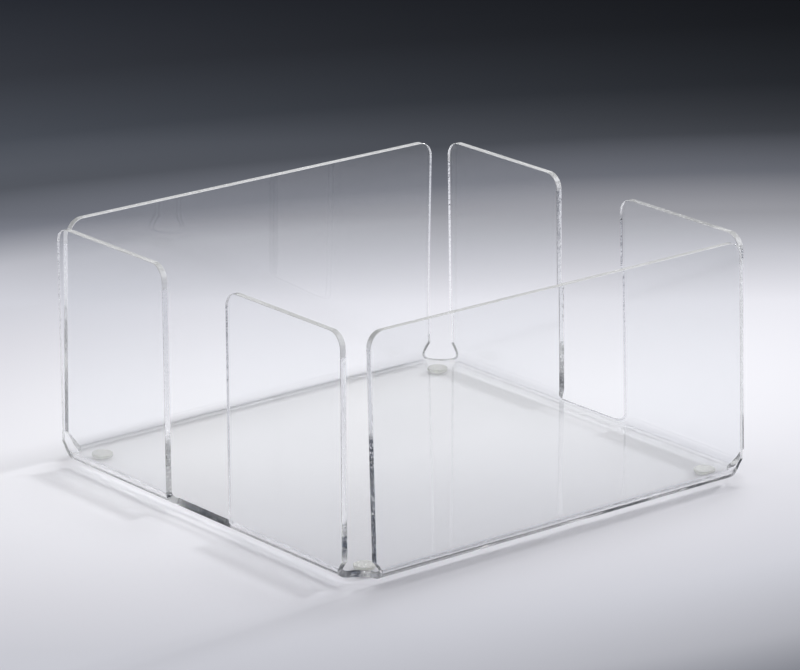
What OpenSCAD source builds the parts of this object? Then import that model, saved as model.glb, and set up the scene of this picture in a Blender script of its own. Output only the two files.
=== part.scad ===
// Square napkin holder, cut from one clear sheet and bent up on four sides.
// The two long walls are whole. Each end has two panels with a finger gap between them.
// It stands on four clear stick-on bumpers.
// The underside of the bumpers is at z = 0 and the origin is at the centre of the holder.

/* [Holder] */
// Overall length, across the outside of the two end bends
holder_l = 190; // [150:1:250]
// Overall width, across the outside of the two long walls
holder_w = 186; // [150:1:245]
// Height of the walls above the underside of the base
wall_h = 91; // [55:1:130]
// Thickness of the clear sheet
sheet_t = 2.5; // [2:0.1:4]
// Inside radius of the heated bends
bend_in_r = 2.5; // [1.5:0.1:5]
// Radius of the free top corners
top_corner_r = 6; // [2:0.5:12]

/* [Corner reliefs] */
// From the end of a bend to the upright edge of the wall beside it
edge_set = 3.5; // [2:0.1:4.5]
// How much further in than that edge the relief reaches
relief_in = 3.3; // [1.5:0.1:6]
// Height above a bend at which the upright edge starts to slant out
flare_rise = 2.8; // [1:0.1:6]

/* [Finger gaps] */
// Clear width of the gap in the middle of each end
gap_w = 37.6; // [20:0.1:60]
// Radius at both ends of the gap's floor
gap_floor_r = 4.4; // [2:0.1:4.8]

/* [Walls as bent] */
// How far in the front wall stands at its top
front_in = 2.6; // [0:0.1:5]
// How far in the back wall stands at its top
back_in = 2.7; // [0:0.1:5]
// How far in the left end's front panel stands at its top
left_front_in = 0.1; // [0:0.1:5]
// How far in the left end's back panel stands at its top
left_back_in = 0; // [0:0.1:5]
// How far in the right end's front panel stands at its top
right_front_in = 2.3; // [0:0.1:5]
// How far in the right end's back panel stands at its top
right_back_in = 1; // [0:0.1:5]

/* [Bumpers] */
// Diameter of a bumper
bumper_d = 8; // [6:0.1:12]
// Height of a bumper below its adhesive
bumper_h = 2; // [1.5:0.1:4]
// Height of the straight rim round a bumper
bumper_rim_h = 0.5; // [0.2:0.1:1]
// How far the soft dome is pressed flat by the load
bumper_press = 0.15; // [0.1:0.05:0.4]
// From the outside faces to the middle of a bumper
bumper_set = 15; // [14:0.5:30]
// Diameter of the adhesive disc
adhesive_d = 7.4; // [5:0.1:11]
// Thickness of the adhesive disc
adhesive_t = 0.2; // [0.1:0.05:0.5]

/* [Hidden] */
$fn = 64;

// How far a cutter runs past what it cuts
overrun = 1;
// Share of the bend's inside radius by which the two cuts of a corner stop short of its axis
zone_share = 0.6;

// The sheet
base_z = bumper_h + adhesive_t;
bend_out_r = bend_in_r + sheet_t;
upright_h = wall_h - bend_out_r;
edge_in = bend_out_r + edge_set;
panel_w = (holder_w - gap_w) / 2 - edge_in;

// The corner reliefs. A corner is cut from above and from both sides. These cuts meet on one flat
// stretch over the middle of each bend, and none reaches further in or up than cut_zone there.
cut_zone = bend_out_r - zone_share * bend_in_r;
relief_tip = edge_in + relief_in;
flare_top = bend_out_r + flare_rise;

// The finger gaps. A gap's floor is this far round the bend from the base. The sine and cosine of
// this angle are 0.352 and 0.936, short enough to keep the cut's faces flush with the panel edges.
lip_angle = atan2(44, 117);
foot_h = 2 * bend_out_r;

// The bumpers
bumper_x = holder_l / 2 - bumper_set;
bumper_y = holder_w / 2 - bumper_set;
dome_h = bumper_h - bumper_rim_h + bumper_press;
dome_r = (pow(bumper_d / 2, 2) + pow(dome_h, 2)) / (2 * dome_h);

clear_acrylic = [0.86, 0.92, 0.95, 0.35];
clear_urethane = [0.90, 0.93, 0.88, 0.6];
milky_adhesive = [0.93, 0.94, 0.90, 0.8];

// A wall's outline, standing on its bend line and with its top corners rounded
module wall_outline(w) {
    square([w, upright_h - top_corner_r]);
    translate([top_corner_r, 0]) square([w - 2 * top_corner_r, upright_h]);
    for (x = [top_corner_r, w - top_corner_r]) {
        translate([x, upright_h - top_corner_r]) circle(r = top_corner_r);
    }
}

// A length of bend from the base's edge up to a wall, from y = 0 to y = run.
// The outside face is x = 0 and the underside is z = 0, and the wall goes on upward.
module bend(run) {
    translate([bend_out_r, run, bend_out_r])
        rotate([90, 180, 0])
            rotate_extrude(angle = 90)
                translate([bend_in_r, 0]) square([sheet_t, run]);
}

// The flat part of a wall, from y = 0 to y = w, with its top standing in by top_in.
// Its foot goes on past y = w by foot_w, and the corner of a finger gap is cut from that.
module upright(w, top_in, foot_w) {
    tall = upright_h + overrun;
    top_x = top_in * tall / upright_h;
    intersection() {
        translate([0, w + foot_w + overrun, bend_out_r])
            rotate([90, 0, 0])
                linear_extrude(w + foot_w + 2 * overrun)
                    polygon([[0, 0], [sheet_t, 0], [sheet_t + top_x, tall], [top_x, tall]]);
        translate([-overrun, 0, bend_out_r])
            rotate([90, 0, 90])
                linear_extrude(sheet_t + top_x + 2 * overrun) {
                    wall_outline(w);
                    if (foot_w > 0) square([w + foot_w, foot_h]);
                }
    }
}

// Takes the ends of a bend and the slanting start of an upright edge away, seen from the side.
// The edge is at y = 0 and the wall goes on along +Y.
module side_cut() {
    slant = (flare_top - cut_zone) / relief_in;
    translate([-overrun, 0, 0])
        rotate([90, 0, 90])
            linear_extrude(cut_zone + overrun)
                polygon([
                    [-edge_in, -overrun],
                    [relief_in, -overrun],
                    [relief_in, cut_zone],
                    [-overrun, flare_top + slant * overrun],
                    [-edge_in, flare_top + slant * overrun]
                ]);
}

// A whole wall with its bend. The bend's ends reach in to the corner cuts.
module long_wall(top_in) {
    run = holder_l - 2 * edge_in;
    difference() {
        union() {
            translate([0, -edge_set, 0]) bend(run + 2 * edge_set);
            upright(run, top_in, 0);
        }
        side_cut();
        translate([0, run, 0]) mirror([0, 1, 0]) side_cut();
    }
}

// An end panel with its bend, which goes on to the middle of the finger gap
module end_panel(top_in) {
    difference() {
        union() {
            translate([0, -edge_set, 0]) bend(edge_set + panel_w + gap_w / 2);
            upright(panel_w, top_in, gap_floor_r);
        }
        side_cut();
    }
}

// Cuts a finger gap square to the sheet at its floor, with a radius at both ends of the floor.
// The gap is centred on y = 0. The bend and the feet of the two panels fill it before this cut.
module gap_cut() {
    translate([bend_out_r, 0, bend_out_r])
        rotate([0, lip_angle, 0])
            rotate([0, 0, 90])
                translate([0, 0, -bend_out_r - overrun])
                    linear_extrude(bend_out_r + foot_h + 2 * overrun)
                        gap_outline(2 * foot_h);
}

// The finger gap's outline, drawn with its floor on y = 0
module gap_outline(deep) {
    half = gap_w / 2;
    translate([-half + gap_floor_r, 0]) square([gap_w - 2 * gap_floor_r, deep]);
    translate([-half, gap_floor_r]) square([gap_w, deep - gap_floor_r]);
    for (x = [-half + gap_floor_r, half - gap_floor_r]) {
        translate([x, gap_floor_r]) circle(r = gap_floor_r);
    }
}

// Takes a corner of the base and the ends of both its bends away, seen from above
module corner_plan_cut() {
    translate([0, 0, -overrun])
        linear_extrude(cut_zone + overrun)
            polygon([
                [-overrun, -overrun],
                [relief_tip, -overrun],
                [relief_tip, cut_zone],
                [cut_zone, relief_tip],
                [-overrun, relief_tip]
            ]);
}

// The flat base between the bends
module base_plate() {
    translate([bend_out_r, bend_out_r, 0])
        cube([holder_l - 2 * bend_out_r, holder_w - 2 * bend_out_r, sheet_t]);
}

// The left end seen from its outside corner, at the front left
module left_end() {
    translate([0, edge_in, 0]) end_panel(left_front_in);
    translate([0, holder_w - edge_in, 0]) mirror([0, 1, 0]) end_panel(left_back_in);
}

// The right end in the same place, to be mirrored across
module right_end() {
    translate([0, edge_in, 0]) end_panel(right_front_in);
    translate([0, holder_w - edge_in, 0]) mirror([0, 1, 0]) end_panel(right_back_in);
}

// The whole sheet, bent, with its front left outside corner at the origin
module sheet_from_corner() {
    difference() {
        union() {
            base_plate();
            left_end();
            translate([holder_l, 0, 0]) mirror([1, 0, 0]) right_end();
            translate([edge_in, 0, 0]) mirror([1, -1, 0]) long_wall(front_in);
            translate([edge_in, holder_w, 0])
                mirror([0, 1, 0]) mirror([1, -1, 0]) long_wall(back_in);
        }
        for (x = [0, 1], y = [0, 1]) {
            translate([x * holder_l, y * holder_w, 0])
                mirror([x, 0, 0]) mirror([0, y, 0]) corner_plan_cut();
        }
        translate([0, holder_w / 2, 0]) gap_cut();
        translate([holder_l, holder_w / 2, 0]) mirror([1, 0, 0]) gap_cut();
    }
}

module bent_sheet() {
    color(clear_acrylic)
        translate([-holder_l / 2, -holder_w / 2, base_z]) sheet_from_corner();
}

// A bumper: a straight rim over a dome that is pressed flat where it stands
module bumper(side_x, side_y) {
    color(clear_urethane)
        translate([side_x * bumper_x, side_y * bumper_y, 0])
            intersection() {
                cylinder(d = bumper_d, h = bumper_h);
                translate([0, 0, dome_r - bumper_press]) sphere(r = dome_r);
            }
}

module adhesive(side_x, side_y) {
    color(milky_adhesive)
        translate([side_x * bumper_x, side_y * bumper_y, bumper_h])
            cylinder(d = adhesive_d, h = adhesive_t);
}

bent_sheet();
bumper(-1, -1);  // bumper_front_left
bumper(1, -1);  // bumper_front_right
bumper(-1, 1);  // bumper_back_left
bumper(1, 1);  // bumper_back_right
adhesive(-1, -1);  // adhesive_front_left
adhesive(1, -1);  // adhesive_front_right
adhesive(-1, 1);  // adhesive_back_left
adhesive(1, 1);  // adhesive_back_right
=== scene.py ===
"""Looks of the clear napkin holder: one sheet of acrylic, cut flat and bent up, on four bumpers."""
import math

import bmesh
import bpy
from mathutils import Matrix, Vector


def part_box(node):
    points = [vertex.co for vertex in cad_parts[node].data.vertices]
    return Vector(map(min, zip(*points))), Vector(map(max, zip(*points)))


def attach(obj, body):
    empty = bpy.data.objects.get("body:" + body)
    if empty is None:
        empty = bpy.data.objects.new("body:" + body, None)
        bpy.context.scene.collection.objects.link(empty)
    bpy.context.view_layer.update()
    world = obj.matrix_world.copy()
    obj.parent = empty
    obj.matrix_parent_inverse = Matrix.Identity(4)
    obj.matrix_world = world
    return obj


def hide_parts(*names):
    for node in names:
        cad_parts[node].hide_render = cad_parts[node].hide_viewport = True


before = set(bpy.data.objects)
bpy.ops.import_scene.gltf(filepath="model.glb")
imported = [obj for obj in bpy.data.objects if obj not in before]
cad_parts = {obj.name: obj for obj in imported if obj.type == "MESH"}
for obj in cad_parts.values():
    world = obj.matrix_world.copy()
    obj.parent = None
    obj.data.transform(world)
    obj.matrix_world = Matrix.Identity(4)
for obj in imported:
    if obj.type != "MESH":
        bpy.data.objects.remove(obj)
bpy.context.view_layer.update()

MM = 0.001

# The sheet. Its overall size comes from the frame, and the rest repeats the part's own values.
SHEET_LOW, SHEET_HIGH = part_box("bent_sheet")
LENGTH = SHEET_HIGH[0] - SHEET_LOW[0]
WIDTH = SHEET_HIGH[1] - SHEET_LOW[1]
BASE_Z = SHEET_LOW[2]
WALL_H = SHEET_HIGH[2] - SHEET_LOW[2]
SHEET_T = 2.5 * MM
BEND_R = 5 * MM  # on the outside
UPRIGHT_H = WALL_H - BEND_R
BASE_X = LENGTH / 2 - BEND_R
BASE_Y = WIDTH / 2 - BEND_R
BEND_RUN = BEND_R * math.pi / 2  # from the base to a wall, along the outside
BEND_STEPS = 14
FLAT_MARGIN = 0.2 * MM  # from a bend's ends to the cuts that keep the flat faces' shading flat

# The flat pattern
EDGE_IN = 3.5 * MM  # from the end of a bend line to the upright edge of its wall
RELIEF_SET = 2.9 * MM  # the middle of a corner's round relief, out from both bend lines
RELIEF_R = 9.75 * MM
RELIEF_STEPS = 14  # on one side of it
FLARE_R = 0.9 * MM  # where the relief meets the upright edge
TOP_R = 6 * MM
GAP_HALF = 18.8 * MM
GAP_LIP = 1.8 * MM  # the finger gap's floor, past the bend line
GAP_R = 4.4 * MM
GAP_TOP_R = 6 * MM
BREAK = 0.14 * MM  # the tiny bevel along both rims of the cut edge
ARC_STEP = math.radians(11)
SLIGHT_TURN = ARC_STEP / 4  # a corner that turns less than this stays as it is
LONGEST_STEP = 3 * MM  # on the straight parts of the outline
SHARP_ANGLE = math.radians(25)  # between two faces, from which their edge is shaded sharp
SAME_PLACE = 1e-7  # a cut takes a corner that is this near to it instead of making another

# The sheet's material slots
FLAT_FACE, CUT_EDGE, BENT_FACE, FROSTED_EDGE = range(4)

# Where painted shade darkens the cut edges: the wall or corner, from and to across it, from and to
# # above its bend, all in mm, and how much
# Painted shade, placed where the edges look dark
PAINTED_SHADE_PARTS = [
    ("front", -90, -80, 0, 50, 1.0),
    ("front", -90, -80, -8, 0, 0.6),
    ("front_left_corner", -90, -86.2, -8, 0, 1.0),
    ("front_left_corner", -86.2, -80, -8, 0, 0.35),
    ("left_front", -90, -60, 3, 13, 1.0),
    ("left_front", -90, -60, -8, 0, 0.8),
    ("left_front", -20, 0, -8, 0, 0.9),
    ("left_back", 0, 14, -8, 0, 0.9),
    ("left_back", 17, 20, -3, 0, 0.9),
    ("left_back", 17, 20, 0, 11, 0.3),
    ("left_back", 17, 20, 11, 21, 0.4),
    ("right_front", -20, -10, 62, 80, 0.9),
    ("right_front", -70, -24, 80, 90, 0.4),
    ("right_back", 10, 20, -1, 5, 0.8),
    ("front_right_corner", 80, 90, -8, 0, 0.6),
]

# Where they are frosted, which is along the tops, in the two back reliefs and at the foot of
# one edge
FROSTED_TOP = 6.5  # mm down from the top of a wall
BACK_RELIEFS_Y = 80 * MM  # they lie further back than this
BACK_RELIEFS_UP = 3  # mm above the bend
FROSTED_WALL = "left_back"
FROSTED_ACROSS = (17, 20)  # from and to across that wall, in mm
FROSTED_UP = 12  # mm above the bend
FROSTED_PAINTED_SHADE = 0.05  # how much painted shade a frosted edge has outside those parts

# How far each wall stands in at its top
TOP_IN = {
    "front": 2.6 * MM,
    "back": 2.7 * MM,
    "left_front": 0.1 * MM,
    "left_back": 0.0,
    "right_front": 2.3 * MM,
    "right_back": 1.0 * MM,
}

# The bumpers and their adhesive discs
TURNED_SEGMENTS = 48
TURNED_SHARP_ANGLE = math.radians(40)
BUMPER_R = 4 * MM
BUMPER_RIM_Z = 1.5 * MM  # where the straight rim turns into the dome
BUMPER_TOP_Z = 1.99 * MM
BUMPER_SOFT = 0.12 * MM  # the rounding of its top rim
SOFT_STEPS = 4  # on that rounding
DOME_FLAT_R = 1.3 * MM  # of the flat that the load presses on the dome
DOME_LEVEL_SHARE = 0.6  # of that radius, up to which it is quite level
DOME_FLAT_Z = 0.012 * MM  # the rise of the pressed flat towards its rim
DOME_Z = 0.01 * MM  # where the dome's curve starts
DOME_STEPS = 12
ADHESIVE_R = 3.7 * MM
ADHESIVE_LOW = 2.0 * MM
ADHESIVE_SINK = 0.02 * MM  # into the sheet, so that no two faces lie in one place
ADHESIVE_SOFT = 0.05 * MM  # the slant of its rims

# The floor
FLOOR_HALF = 6.0
POOL_CENTRE = (0.014, 0.050, 0.0)  # of the pale pool of light painted on it
POOL_TURN = math.radians(-15.1)
POOL_STRETCH = 1.77  # the pool is an oval, that much longer one way
SIDE_FADE = 3.7  # how fast painted shade makes the dark part of the floor darker to the camera's right
SIDE_REACH = 0.25  # how far from the object's middle that goes on, to the right and to the left
SIDE_START, SIDE_FULL = 0.2, 0.4  # how far from the pool's middle it starts, and is in full

# The camera: turned round the object, raised, rolled, and how far it stands from its target
AZIMUTH = math.radians(-38.79)
ELEVATION = math.radians(17.74)
ROLL = math.radians(-0.29)
CAMERA_DISTANCE = 1.8016
CAMERA_TARGET = Vector((0.02006, 0.02587, 0.0422))
LENS = 215.1

# Light, in the clear materials and from all round
ACRYLIC_IOR = 1.49
STRAIGHT_SHARE = 0.99  # the share of light that passes a face which it meets squarely
STRAIGHT_LOSS = 0.6  # how much smaller that share is where light grazes the face
LOSS_POWER = 5.0  # how late in the slant that loss sets in
BOUNCES = 64  # light runs a long way inside the sheet, from one cut edge to another
TRANSPARENT_BOUNCES = 32
AMBIENT = 0.55  # how bright the grey light from all round is


# Node trees

class Nodes:
    """A material or world node tree that is filled by short calls."""

    def __init__(self, tree):
        self.tree = tree
        tree.nodes.clear()

    def add(self, kind, values=None, **settings):
        node = self.tree.nodes.new(kind)
        for name, value in settings.items():
            setattr(node, name, value)
        for name, value in (values or {}).items():
            self.put(node.inputs[name], value)
        return node

    def put(self, socket, value):
        if isinstance(value, bpy.types.NodeSocket):
            self.tree.links.new(value, socket)
        else:
            socket.default_value = value

    def math(self, operation, a, b=0.0):
        node = self.add("ShaderNodeMath", operation=operation)
        self.put(node.inputs[0], a)
        self.put(node.inputs[1], b)
        return node.outputs[0]

    def spread(self, share, base, span):
        """The base value plus that share of the span."""
        return self.math("ADD", self.math("MULTIPLY", share, span), base)

    def ramp(self, factor, stops):
        node = self.add("ShaderNodeValToRGB", {"Fac": factor})
        points = node.color_ramp.elements
        while len(points) < len(stops):
            points.new(0.5)
        for point, (at, colour) in zip(points, stops):
            point.position = at
            point.color = colour
        return node.outputs["Color"]

    def noise(self, vector, scale, detail=2.0, roughness=0.5):
        values = {"Vector": vector, "Scale": scale, "Detail": detail, "Roughness": roughness}
        return self.add("ShaderNodeTexNoise", values).outputs["Fac"]

    def stretched(self, vector, scale):
        node = self.add("ShaderNodeMapping", {"Vector": vector, "Scale": scale})
        return node.outputs["Vector"]


def srgb(r, g, b):
    """A colour of 0..255 numbers as a linear RGBA."""
    out = []
    for channel in (r, g, b):
        share = channel / 255
        out.append(share / 12.92 if share <= 0.04045 else ((share + 0.055) / 1.055) ** 2.4)
    return (*out, 1.0)


def grey(level):
    return (level, level, level, 1.0)


def new_material(name):
    material = bpy.data.materials.new(name)
    material.use_nodes = True
    return material, Nodes(material.node_tree)


# Materials

def lit_through(n, shader, passed):
    """Makes the shader the material's surface, but lets the light of the lamps and the floor
    pass it in a straight line, so that what stands behind the piece is lit. The share that
    passes is what a clear face lets by at that slant, times the material's own share."""
    rays = n.add("ShaderNodeLightPath").outputs
    straight = n.math("MAXIMUM", rays["Is Shadow Ray"], rays["Is Diffuse Ray"])
    slanting = n.add("ShaderNodeLayerWeight", {"Blend": 0.5}).outputs["Facing"]
    lost = n.math("MULTIPLY", n.math("POWER", slanting, LOSS_POWER), STRAIGHT_LOSS)
    entering = n.math("SUBTRACT", STRAIGHT_SHARE, lost)
    share = n.math("MAXIMUM", n.math("MULTIPLY", entering, passed), 0.0)
    clear = n.add("ShaderNodeBsdfTransparent", {"Color": share})
    mixed = n.add("ShaderNodeMixShader", {"Fac": straight})
    n.put(mixed.inputs[1], shader.outputs["BSDF"])
    n.put(mixed.inputs[2], clear.outputs["BSDF"])
    n.add("ShaderNodeOutputMaterial", {"Surface": mixed.outputs["Shader"]})


def clear_acrylic(name, bent):
    """The polished faces: clear, with the faintest wiping marks and dust. A bent face keeps the
    bright lines and shadows that it throws on the floor."""
    material, n = new_material(name)
    place = n.add("ShaderNodeTexCoord").outputs["Object"]
    wiping = n.noise(n.stretched(place, (60, 60, 14)), scale=1.0, detail=3.0)
    dust = n.noise(place, scale=900.0, detail=1.0)
    specks = n.ramp(dust, [(0.72, grey(0.0)), (0.78, grey(0.05))])
    waves = n.noise(place, scale=9.0, detail=1.0)
    bump = n.add("ShaderNodeBump", {"Height": waves, "Strength": 0.05, "Distance": 0.0006})
    shader = n.add("ShaderNodeBsdfPrincipled", {
        "Base Color": (0.985, 0.99, 0.995, 1.0),
        "Roughness": n.spread(wiping, base=specks, span=0.012),
        "Transmission Weight": 1.0,
        "IOR": ACRYLIC_IOR,
        "Normal": bump.outputs["Normal"],
    })
    if bent:
        n.add("ShaderNodeOutputMaterial", {"Surface": shader.outputs["BSDF"]})
    else:
        lit_through(n, shader, passed=1.0)
    return material


def cut_edge(name, clarity):
    """The cut edges: clear too, but ribbed across, and frosted white at a clarity below 1.
    In the listed parts painted shade darkens them to a dark slate, speckled with light spots."""
    material, n = new_material(name)
    along = n.add("ShaderNodeUVMap", uv_map="cut").outputs["UV"]
    painted_shade_map = n.add("ShaderNodeUVMap", uv_map="dull").outputs["UV"]
    dull = n.add("ShaderNodeSeparateXYZ", {"Vector": painted_shade_map}).outputs["X"]
    ribs = n.noise(n.stretched(along, (1300, 500, 1)), scale=1.0)
    coarse = n.noise(n.stretched(along, (260, 120, 1)), scale=1.0)
    height = n.spread(ribs, base=coarse, span=0.5)
    bump = n.add("ShaderNodeBump", {"Height": height, "Strength": 1.0, "Distance": 0.00018})
    speckle_noise = n.noise(n.stretched(along, (950, 700, 1)), scale=1.0, detail=3.0, roughness=0.65)
    # Painted shade: a dark slate with light specks, mixed in where the edge is listed as shaded
    painted_dark_specks = n.ramp(speckle_noise, [
        (0.47, (0.02, 0.025, 0.04, 1.0)),
        (0.54, (0.10, 0.11, 0.14, 1.0)),
        (0.59, (0.92, 0.94, 0.96, 1.0)),
    ])
    clear = (0.97, 0.98, 0.985, 1.0)
    colour = n.add("ShaderNodeMix", {0: dull, 6: clear, 7: painted_dark_specks}, data_type="RGBA")
    shader = n.add("ShaderNodeBsdfPrincipled", {
        "Base Color": colour.outputs[2],
        "Roughness": n.spread(coarse, base=0.005, span=0.04),
        "Transmission Weight": clarity,
        "IOR": ACRYLIC_IOR,
        "Normal": bump.outputs["Normal"],
    })
    lit_through(n, shader, passed=0.75)
    return material


def clear_urethane():
    """The soft bumpers: clear but slightly milky, with a faint warm tint and a fine skin."""
    material, n = new_material("clear_urethane")
    place = n.add("ShaderNodeTexCoord").outputs["Object"]
    haze = n.noise(place, scale=420.0, detail=3.0)
    tint = n.ramp(haze, [(0.3, (0.90, 0.92, 0.84, 1.0)), (0.7, (0.97, 0.98, 0.93, 1.0))])
    skin = n.noise(place, scale=1800.0)
    bump = n.add("ShaderNodeBump", {"Height": skin, "Strength": 0.05, "Distance": 0.0001})
    shader = n.add("ShaderNodeBsdfPrincipled", {
        "Base Color": tint,
        "Roughness": n.spread(haze, base=0.02, span=0.12),
        "Transmission Weight": 0.65,
        "IOR": 1.48,
        "Normal": bump.outputs["Normal"],
    })
    lit_through(n, shader, passed=0.8)
    return material


def milky_adhesive():
    """The adhesive discs: translucent, with small trapped bubbles."""
    material, n = new_material("milky_adhesive")
    place = n.add("ShaderNodeTexCoord").outputs["Object"]
    cells = n.add("ShaderNodeTexVoronoi", {"Vector": place, "Scale": 2600.0}).outputs["Distance"]
    bubbles = n.ramp(cells, [(0.10, grey(0.94)), (0.28, grey(0.965))])
    bump = n.add("ShaderNodeBump", {"Height": cells, "Strength": 0.02, "Distance": 0.00005})
    shader = n.add("ShaderNodeBsdfPrincipled", {
        "Base Color": bubbles,
        "Roughness": n.spread(cells, base=0.15, span=0.15),
        "Transmission Weight": 0.8,
        "IOR": 1.47,
        "Normal": bump.outputs["Normal"],
    })
    lit_through(n, shader, passed=0.8)
    return material


# The sheet, drawn flat and folded

def with_round_corners(corners):
    """A closed outline from (x, y, radius) corners, each one rounded by an arc of its radius."""
    outline = []
    for i, (x, y, radius) in enumerate(corners):
        at = Vector((x, y))
        back = Vector(corners[i - 1][:2]) - at
        on = Vector(corners[(i + 1) % len(corners)][:2]) - at
        turn = math.pi - back.angle(on)
        if radius == 0 or turn < SLIGHT_TURN:
            outline.append(at)
            continue
        reach = radius * math.tan(turn / 2)
        start = at + back.normalized() * reach
        middle = (back.normalized() + on.normalized()).normalized()
        centre = at + middle * (radius / math.cos(turn / 2))
        steps = max(2, math.ceil(turn / ARC_STEP))
        arm = start - centre
        side = 1 if back.x * on.y - back.y * on.x < 0 else -1
        for k in range(steps + 1):
            outline.append(centre + Matrix.Rotation(side * turn * k / steps, 2) @ arm)
    return outline


def half_side(half, gap):
    """One half of a side's outline, from the middle of the corner relief, as (along, out)."""
    top = BEND_RUN + UPRIGHT_H
    end = math.acos((EDGE_IN + RELIEF_SET) / RELIEF_R)
    start = -math.pi / 4
    corners = []
    for k in range(RELIEF_STEPS + 1):
        # From half a step off the corner's diagonal, as the next side does on its own half
        angle = start + (end - start) * (k + 0.5) / (RELIEF_STEPS + 0.5)
        along = -(half + RELIEF_SET) + RELIEF_R * math.cos(angle)
        corners.append((along, RELIEF_SET + RELIEF_R * math.sin(angle), 0.0))
    corners[-1] = (*corners[-1][:2], FLARE_R)
    corners.append((-(half - EDGE_IN), top, TOP_R))
    if gap:
        corners += [(-GAP_HALF, top, GAP_TOP_R), (-GAP_HALF, GAP_LIP, GAP_R)]
    return corners


def flat_pattern():
    """The cut outline of the whole sheet before it is bent, counterclockwise from above."""
    corners = []
    for quarter in range(4):
        ends = quarter % 2 == 0
        half, out = (BASE_Y, BASE_X) if ends else (BASE_X, BASE_Y)
        first = half_side(half, ends)
        side = first + [(-along, away, radius) for along, away, radius in reversed(first)]
        turn = Matrix.Rotation(quarter * math.pi / 2, 2)
        for along, away, radius in side:
            x, y = turn @ Vector((out + away, along))
            corners.append((x, y, radius))
    return with_round_corners(corners)


def inset(outline, distance):
    """The outline moved in by a distance, point by point."""
    moved = []
    for i, at in enumerate(outline):
        back = (at - outline[i - 1]).normalized()
        on = (outline[(i + 1) % len(outline)] - at).normalized()
        normal = Vector((-(back.y + on.y), back.x + on.x)).normalized()
        cosine = normal.x * -on.y + normal.y * on.x
        moved.append(at + normal * (distance / cosine))
    return moved


def wall_of(x, y):
    """The name of the wall that a point of the flat pattern belongs to, with how far it is past
    the bend line, or None for the base."""
    past_x = abs(x) - BASE_X
    past_y = abs(y) - BASE_Y
    if past_x > 0:
        side = "right" if x > 0 else "left"
        return side + ("_back" if y > 0 else "_front"), past_x
    if past_y > 0:
        return ("back" if y > 0 else "front"), past_y
    return None, 0.0


def bend(run, height, top_in):
    """Where a point at this run past the bend line ends up, as (out, up) from the bend line.
    Its height is above the outside face of the sheet."""
    lean = math.atan(top_in / UPRIGHT_H)
    turned = math.pi / 2 + lean
    radius = BEND_R - height
    if run <= BEND_RUN:
        angle = turned * run / BEND_RUN
        return radius * math.sin(angle), BEND_R - radius * math.cos(angle)
    stretch = (UPRIGHT_H / math.cos(lean) - BEND_R * math.tan(lean)) / UPRIGHT_H
    rise = (run - BEND_RUN) * stretch
    out = radius * math.cos(lean) - rise * math.sin(lean)
    return out, BEND_R + radius * math.sin(lean) + rise * math.cos(lean)


def folded(point):
    """A point of the flat sheet, moved to where bending takes it."""
    wall, run = wall_of(point.x, point.y)
    if wall is None:
        return Vector((point.x, point.y, BASE_Z + point.z))
    out, up = bend(run, point.z, TOP_IN[wall])
    if wall in ("front", "back"):
        return Vector((point.x, math.copysign(BASE_Y + out, point.y), BASE_Z + up))
    return Vector((math.copysign(BASE_X + out, point.x), point.y, BASE_Z + up))


def edge_shade_and_frost(x, y):
    """How much painted shade darkens the cut edge at a point of the flat pattern, from 0 to 1, and
    whether it is frosted."""
    wall, run = wall_of(x, y)
    up = (run - BEND_RUN) / MM
    along = (x if wall in ("front", "back") else y) / MM
    if wall is None:
        along = x / MM
        wall = ("back_" if y > 0 else "front_") + ("right" if x > 0 else "left") + "_corner"
    start, end = FROSTED_ACROSS
    frosted = (
        up > UPRIGHT_H / MM - FROSTED_TOP
        or (y > BACK_RELIEFS_Y and up < BACK_RELIEFS_UP)
        or (wall == FROSTED_WALL and start < along < end and up < FROSTED_UP)
    )
    for name, first, last, low, high, dull in PAINTED_SHADE_PARTS:
        if name == wall and first <= along <= last and low <= up <= high:
            return dull, frosted
    return (FROSTED_PAINTED_SHADE if frosted else 0.0), frosted


def with_short_steps(outline):
    """The outline with its long straight parts divided."""
    divided = []
    for i, at in enumerate(outline):
        on = outline[(i + 1) % len(outline)]
        count = math.ceil((on - at).length / LONGEST_STEP)
        divided += [at.lerp(on, k / count) for k in range(count)]
    return divided


def cut_across(bm, axis, place):
    """Cuts every face of the flat sheet along a line across one axis."""
    normal = Vector((0, 0, 0))
    normal[axis] = 1
    everything = bm.verts[:] + bm.edges[:] + bm.faces[:]
    bmesh.ops.bisect_plane(
        bm, geom=everything, plane_co=normal * place, plane_no=normal, dist=SAME_PLACE,
    )


def add_cut_edge(bm, outline, rings):
    """The faces between the rings. The map "cut" holds their place on the cutting path and
    across the sheet, and the other map holds how much painted shade darkens them."""
    cut = bm.loops.layers.uv["cut"]
    dull = bm.loops.layers.uv["dull"]
    path = 0.0
    count = len(outline)
    for i in range(count):
        j = (i + 1) % count
        step = (outline[j] - outline[i]).length
        here, frosted = edge_shade_and_frost(*outline[i])
        there = edge_shade_and_frost(*outline[j])[0]
        for low, high in zip(rings, rings[1:]):
            face = bm.faces.new((low[i], low[j], high[j], high[i]))
            face.material_index = FROSTED_EDGE if frosted else CUT_EDGE
            for loop, along in zip(face.loops, (path, path + step, path + step, path)):
                loop[cut].uv = (along, loop.vert.co.z)
            for loop, share in zip(face.loops, (here, there, there, here)):
                loop[dull].uv = (share, 0.0)
        path += step


def fold_up(bm):
    """Divides the flat sheet along its bends, marks their faces, and folds it."""
    runs = [BEND_RUN * step / BEND_STEPS for step in range(BEND_STEPS + 1)]
    for run in [-FLAT_MARGIN] + runs + [BEND_RUN + FLAT_MARGIN]:
        for side in (-1, 1):
            cut_across(bm, 0, side * (BASE_X + run))
            cut_across(bm, 1, side * (BASE_Y + run))
    for face in bm.faces:
        middle = face.calc_center_median()
        past = wall_of(middle.x, middle.y)[1]
        if face.material_index == FLAT_FACE and 0 < past < BEND_RUN:
            face.material_index = BENT_FACE
    for vertex in bm.verts:
        vertex.co = folded(vertex.co)


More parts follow.
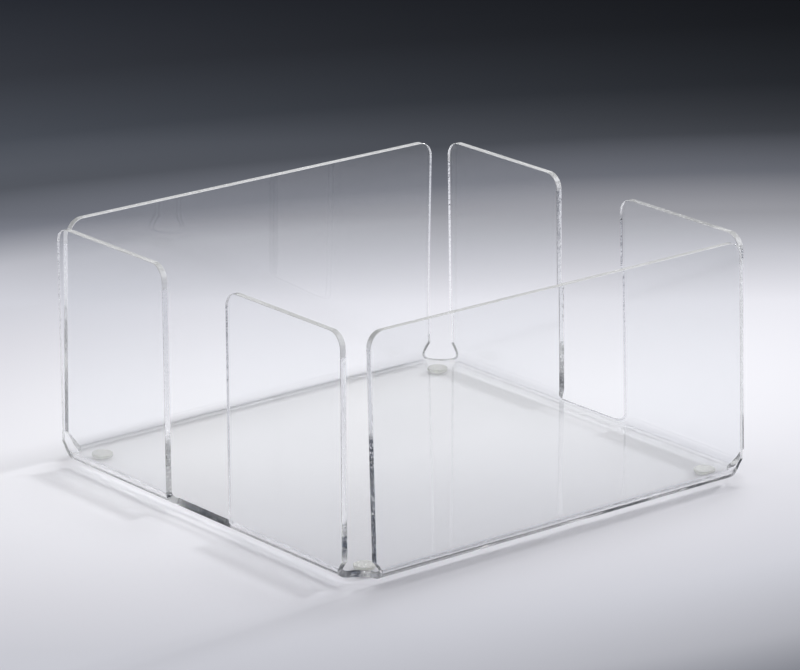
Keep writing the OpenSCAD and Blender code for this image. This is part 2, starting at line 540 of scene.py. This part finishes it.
def bent_sheet(materials):
    """The sheet as a closed mesh: two faces, the cut edge between them and its tiny bevels.
    Its materials come in the order of its slots."""
    outline = with_short_steps(flat_pattern())
    inner = inset(outline, BREAK)
    bm = bmesh.new()
    bm.loops.layers.uv.new("cut")
    bm.loops.layers.uv.new("dull")
    rings = []
    for points, height in (
        (inner, 0.0),
        (outline, BREAK),
        (outline, SHEET_T - BREAK),
        (inner, SHEET_T),
    ):
        rings.append([bm.verts.new((p.x, p.y, height)) for p in points])
    bm.faces.new(reversed(rings[0]))
    bm.faces.new(rings[-1])
    add_cut_edge(bm, outline, rings)
    fold_up(bm)
    for face in bm.faces:
        face.smooth = True
    mesh = bpy.data.meshes.new("acrylic_sheet")
    bm.to_mesh(mesh)
    bm.free()
    mesh.set_sharp_from_angle(angle=SHARP_ANGLE)
    for material in materials:
        mesh.materials.append(material)
    return place_object("acrylic_sheet", mesh)


def place_object(name, mesh):
    made = bpy.data.objects.new(name, mesh)
    bpy.context.scene.collection.objects.link(made)
    return made


# The bumpers and adhesive discs, turned from their profiles

def turned(name, profile, centre, material):
    """A closed mesh turned from a profile of (radius, height) that starts and ends on the axis."""
    bm = bmesh.new()
    rings = []
    for radius, height in profile:
        if radius == 0:
            rings.append([bm.verts.new((centre[0], centre[1], height))])
            continue
        ring = []
        for k in range(TURNED_SEGMENTS):
            angle = 2 * math.pi * k / TURNED_SEGMENTS
            x = centre[0] + radius * math.cos(angle)
            y = centre[1] + radius * math.sin(angle)
            ring.append(bm.verts.new((x, y, height)))
        rings.append(ring)
    for low, high in zip(rings, rings[1:]):
        for k in range(TURNED_SEGMENTS):
            m = (k + 1) % TURNED_SEGMENTS
            if len(low) == 1:
                bm.faces.new((low[0], high[m], high[k]))
            elif len(high) == 1:
                bm.faces.new((low[k], low[m], high[0]))
            else:
                bm.faces.new((low[k], low[m], high[m], high[k]))
    for face in bm.faces:
        face.smooth = True
    mesh = bpy.data.meshes.new(name)
    bm.to_mesh(mesh)
    bm.free()
    mesh.set_sharp_from_angle(angle=TURNED_SHARP_ANGLE)
    mesh.materials.append(material)
    return place_object(name, mesh)


def arc(centre, radius, start, end, steps):
    """Points (radius, height) on an arc of the profile plane, its angles in degrees."""
    out = []
    for k in range(steps + 1):
        angle = math.radians(start + (end - start) * k / steps)
        out.append((centre[0] + radius * math.cos(angle), centre[1] + radius * math.sin(angle)))
    return out


def bumper_profile():
    """Up from where the bumper stands: the pressed flat, the dome, the rim and its round edge."""
    profile = [(0.0, 0.0), (DOME_FLAT_R * DOME_LEVEL_SHARE, 0.0), (DOME_FLAT_R, DOME_FLAT_Z)]
    for k in range(1, DOME_STEPS + 1):
        angle = k / DOME_STEPS * math.pi / 2
        radius = DOME_FLAT_R + (BUMPER_R - DOME_FLAT_R) * math.sin(angle)
        profile.append((radius, BUMPER_RIM_Z * (1 - math.cos(angle)) + DOME_Z))
    round_centre = (BUMPER_R - BUMPER_SOFT, BUMPER_TOP_Z - BUMPER_SOFT)
    profile += arc(round_centre, BUMPER_SOFT, 0, 90, SOFT_STEPS)
    profile.append((0.0, BUMPER_TOP_Z))
    return profile


def adhesive_profile():
    """Up from the bumper's top: a disc with slanting rims that ends just inside the sheet."""
    top = BASE_Z + ADHESIVE_SINK
    inside = ADHESIVE_R - ADHESIVE_SOFT
    return [
        (0.0, ADHESIVE_LOW), (inside, ADHESIVE_LOW),
        (ADHESIVE_R, ADHESIVE_LOW + ADHESIVE_SOFT), (ADHESIVE_R, top - ADHESIVE_SOFT),
        (inside, top), (0.0, top),
    ]


# The pieces, with what each one replaces and the body it rides on

sheet = bent_sheet([
    clear_acrylic("clear_acrylic", bent=False),
    cut_edge("cut_edge", clarity=1.0),
    clear_acrylic("clear_bend", bent=True),
    cut_edge("frosted_edge", clarity=0.5),
])
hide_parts("bent_sheet")
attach(sheet, "root")

stick_ons = (
    ("bumper", "clear_urethane", clear_urethane(), bumper_profile()),
    ("adhesive", "clear_adhesive", milky_adhesive(), adhesive_profile()),
)
for depth in ("front", "back"):
    for hand in ("left", "right"):
        for kind, slot, material, profile in stick_ons:
            node = f"{kind}_{depth}_{hand}"
            low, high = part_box(node)
            centre = ((low[0] + high[0]) / 2, (low[1] + high[1]) / 2)
            piece = turned(f"soft_{node}", profile, centre, material)
            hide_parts(node)
            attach(piece, "root")


# The floor, the lamps and the world

floor_mesh = bpy.data.meshes.new("floor")
floor_mesh.from_pydata(
    [(-FLOOR_HALF, -FLOOR_HALF, 0), (FLOOR_HALF, -FLOOR_HALF, 0),
     (FLOOR_HALF, FLOOR_HALF, 0), (-FLOOR_HALF, FLOOR_HALF, 0)],
    [], [(0, 1, 2, 3)],
)
floor = place_object("floor", floor_mesh)


def floor_paper_painted_light():
    """Paper with a painted pool of light, which fades from a pale oval pool to dark slate. Beyond
    the pool painted shade makes one side of it darker, and behind the object painted shade dims a
    belt across the camera's view."""
    material, n = new_material("floor_paper_painted_light")
    place = n.add("ShaderNodeTexCoord").outputs["Object"]
    pool = n.add("ShaderNodeMapping", {
        "Vector": place,
        "Location": POOL_CENTRE,
        "Rotation": (0, 0, POOL_TURN),
        "Scale": (POOL_STRETCH, 1, 1),
    }, vector_type="TEXTURE").outputs["Vector"]
    away = n.add("ShaderNodeVectorMath", {0: pool}, operation="LENGTH").outputs["Value"]
    # Painted pool of light: the paper's colour fades with the distance from the pool's middle
    painted_pool_light = n.ramp(away, [
        (0.04, srgb(243, 243, 248)),
        (0.10, srgb(230, 230, 236)),
        (0.16, srgb(214, 214, 221)),
        (0.21, srgb(200, 201, 209)),
        (0.26, srgb(183, 184, 192)),
        (0.31, srgb(120, 123, 133)),
        (0.37, srgb(72, 75, 82)),
        (0.45, srgb(48, 51, 57)),
        (0.56, srgb(34, 36, 41)),
        (0.75, srgb(20, 22, 27)),
        (1.0, srgb(15, 18, 23)),
    ])
    # Painted shade: beyond the pool the floor is darker to the camera's right
    sideways = n.add("ShaderNodeVectorMath", {
        0: place, 1: (math.cos(AZIMUTH), math.sin(AZIMUTH), 0),
    }, operation="DOT_PRODUCT").outputs["Value"]
    reached = n.add("ShaderNodeClamp", {"Value": sideways, "Min": -SIDE_REACH, "Max": SIDE_REACH})
    beyond = n.add("ShaderNodeMapRange", {
        "Value": away, "From Min": SIDE_START, "From Max": SIDE_FULL,
    })
    slope = n.math("MULTIPLY", reached.outputs["Result"], beyond.outputs["Result"])
    side = n.math("EXPONENT", n.math("MULTIPLY", slope, -SIDE_FADE))
    depth = n.add("ShaderNodeVectorMath", {
        0: place, 1: (-math.sin(AZIMUTH), math.cos(AZIMUTH), 0),
    }, operation="DOT_PRODUCT").outputs["Value"]
    # Painted shade: a belt behind the object is dimmed
    painted_shade_belt = n.ramp(depth, [
        (0.21, grey(1.0)),
        (0.27, grey(0.79)),
        (0.34, grey(0.60)),
        (0.40, grey(0.76)),
        (0.46, grey(1.0)),
    ])
    painted_shade_fade = n.math("MULTIPLY", side, painted_shade_belt)
    colour = n.add("ShaderNodeVectorMath", {0: painted_pool_light, "Scale": painted_shade_fade}, operation="SCALE")
    shader = n.add("ShaderNodeBsdfPrincipled", {
        "Base Color": colour.outputs["Vector"], "Roughness": 0.7, "Specular IOR Level": 0.0,
    })
    n.add("ShaderNodeOutputMaterial", {"Surface": shader.outputs["BSDF"]})
    return material


floor_mesh.materials.append(floor_paper_painted_light())


def softbox(name, direction, distance, size, power):
    """A square lamp of that size and power, aimed at the object from that direction and
    distance."""
    data = bpy.data.lights.new(name, "AREA")
    data.shape = "SQUARE"
    data.size = size
    data.energy = power
    lamp = bpy.data.objects.new(name, data)
    place = Vector(direction).normalized() * distance
    lamp.location = place
    lamp.rotation_euler = (-place).to_track_quat("-Z", "Y").to_euler()
    bpy.context.scene.collection.objects.link(lamp)


softbox("overhead", direction=(0.304, 0.192, 1.0), distance=3.0, size=0.7, power=28)
# Throws the strips of shadow beside the left end
softbox("low", direction=(0.90, -0.01, 0.42), distance=2.0, size=0.2, power=22)


def studio_world():
    """Soft grey light from all round. What the camera sees, also in the clear pieces, is a dark
    studio with a pale band low down all round it."""
    world = bpy.data.worlds.new("studio")
    world.use_nodes = True
    n = Nodes(world.node_tree)
    direction = n.add("ShaderNodeTexCoord").outputs["Generated"]
    height = n.add("ShaderNodeSeparateXYZ", {"Vector": direction}).outputs["Z"]
    seen = n.ramp(height, [
        (0.0, srgb(50, 54, 61)),
        (0.14, srgb(60, 64, 72)),
        (0.26, grey(0.8)),
        (0.314, grey(0.8)),
        (0.326, grey(0.65)),
        (0.338, grey(0.38)),
        (0.36, grey(0.3)),
        (0.48, srgb(60, 64, 72)),
        (1.0, srgb(16, 18, 22)),
    ])
    rays = n.add("ShaderNodeLightPath").outputs
    shown = n.math("MAXIMUM", rays["Is Camera Ray"], rays["Is Glossy Ray"])
    shown = n.math("MAXIMUM", shown, rays["Is Transmission Ray"])
    light = n.add("ShaderNodeMix", {0: shown, 6: grey(AMBIENT), 7: seen}, data_type="RGBA")
    background = n.add("ShaderNodeBackground", {"Color": light.outputs[2], "Strength": 1.0})
    n.add("ShaderNodeOutputWorld", {"Surface": background.outputs["Background"]})
    return world


bpy.context.scene.world = studio_world()


# The camera and the render's light paths

def camera():
    """The camera, where the photograph's camera stood."""
    back = Vector((
        math.sin(AZIMUTH) * math.cos(ELEVATION),
        -math.cos(AZIMUTH) * math.cos(ELEVATION),
        math.sin(ELEVATION),
    ))
    right = Vector((0, 0, 1)).cross(back).normalized()
    up = back.cross(right)
    tilted_right = right * math.cos(ROLL) + up * math.sin(ROLL)
    tilted_up = up * math.cos(ROLL) - right * math.sin(ROLL)
    data = bpy.data.cameras.new("camera")
    data.sensor_fit = "HORIZONTAL"
    data.sensor_width = 36
    data.lens = LENS
    data.clip_start = 0.05
    data.clip_end = 50
    made = bpy.data.objects.new("camera", data)
    axes = Matrix((tilted_right, tilted_up, back)).transposed().to_4x4()
    made.matrix_world = Matrix.Translation(CAMERA_TARGET + back * CAMERA_DISTANCE) @ axes
    bpy.context.scene.collection.objects.link(made)
    bpy.context.scene.camera = made


camera()
bpy.context.scene.view_settings.view_transform = "Standard"

cycles = bpy.context.scene.cycles
cycles.max_bounces = BOUNCES
cycles.glossy_bounces = BOUNCES
cycles.transmission_bounces = BOUNCES
cycles.transparent_max_bounces = TRANSPARENT_BOUNCES
